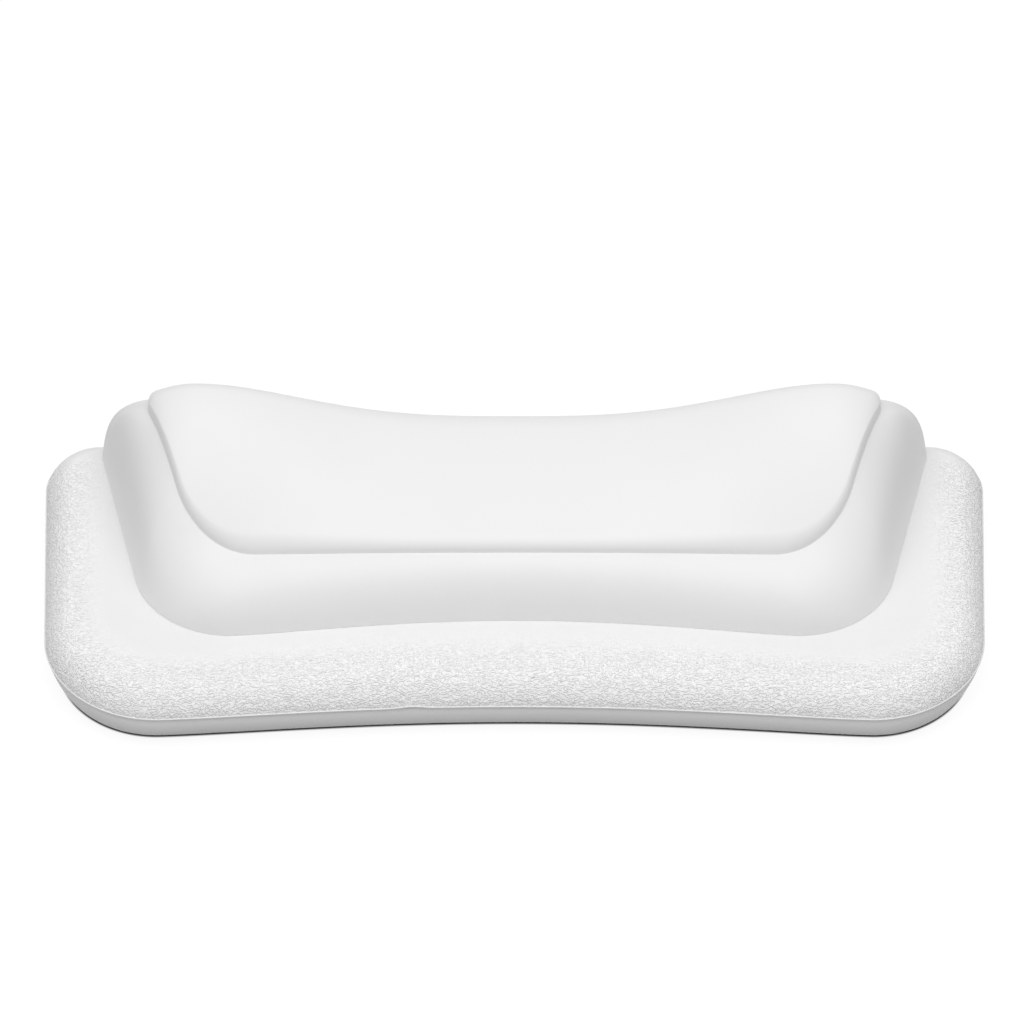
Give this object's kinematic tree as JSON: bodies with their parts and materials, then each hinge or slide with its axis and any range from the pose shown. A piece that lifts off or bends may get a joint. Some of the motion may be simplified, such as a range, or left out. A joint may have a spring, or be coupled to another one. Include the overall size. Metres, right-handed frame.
{
  "type": "bath pillow",
  "caption": "Moulded white bath pillow: a grained flange carries a smooth neck roll with a raised face pad, held to the tub by suction cups that turn in sockets.",
  "frame": {"origin": "centre of the part's bounding box in plan, on the plane of the suction cups' sealing lips", "axes": "+X along the pillow, +Y towards the upper edge behind the head, +Z from the tub wall towards the head"},
  "size_m": [0.33, 0.132, 0.0708],
  "materials": {
    "grained_skin": "matt white skin with a fine leather grain",
    "smooth_skin": "smooth satin white skin",
    "rear_skin": "smooth satin white skin",
    "foam": "open foam",
    "plate_plastic": "moulded matt",
    "socket_plastic": "moulded satin",
    "cup_vinyl": "clear-white glossy vinyl"
  },
  "bodies": {
    "pillow": {"front_cover": "grained_skin", "rear_cover": "rear_skin", "base_core": "foam", "stiffening_plate": "plate_plastic", "neck_roll": "smooth_skin", "face_pad": "smooth_skin", "socket_lower_left": "socket_plastic", "socket_lower_right": "socket_plastic", "socket_upper_left": "socket_plastic", "socket_upper_right": "socket_plastic"},
    "cup_lower_left": {"suction_cup_lower_left": "cup_vinyl"},
    "cup_lower_right": {"suction_cup_lower_right": "cup_vinyl"},
    "cup_upper_left": {"suction_cup_upper_left": "cup_vinyl"},
    "cup_upper_right": {"suction_cup_upper_right": "cup_vinyl"}
  },
  "joints": [
    {"name": "cup_turn_lower_left", "type": "hinge", "parent": "pillow", "child": "cup_lower_left", "pos_m": [-0.105, -0.032, 0], "axis": [0, 0, 1], "continuous": true},
    {"name": "cup_turn_lower_right", "type": "hinge", "parent": "pillow", "child": "cup_lower_right", "pos_m": [0.105, -0.032, 0], "axis": [0, 0, 1], "continuous": true},
    {"name": "cup_turn_upper_left", "type": "hinge", "parent": "pillow", "child": "cup_upper_left", "pos_m": [-0.105, 0.032, 0], "axis": [0, 0, 1], "continuous": true},
    {"name": "cup_turn_upper_right", "type": "hinge", "parent": "pillow", "child": "cup_upper_right", "pos_m": [0.105, 0.032, 0], "axis": [0, 0, 1], "continuous": true}
  ]
}
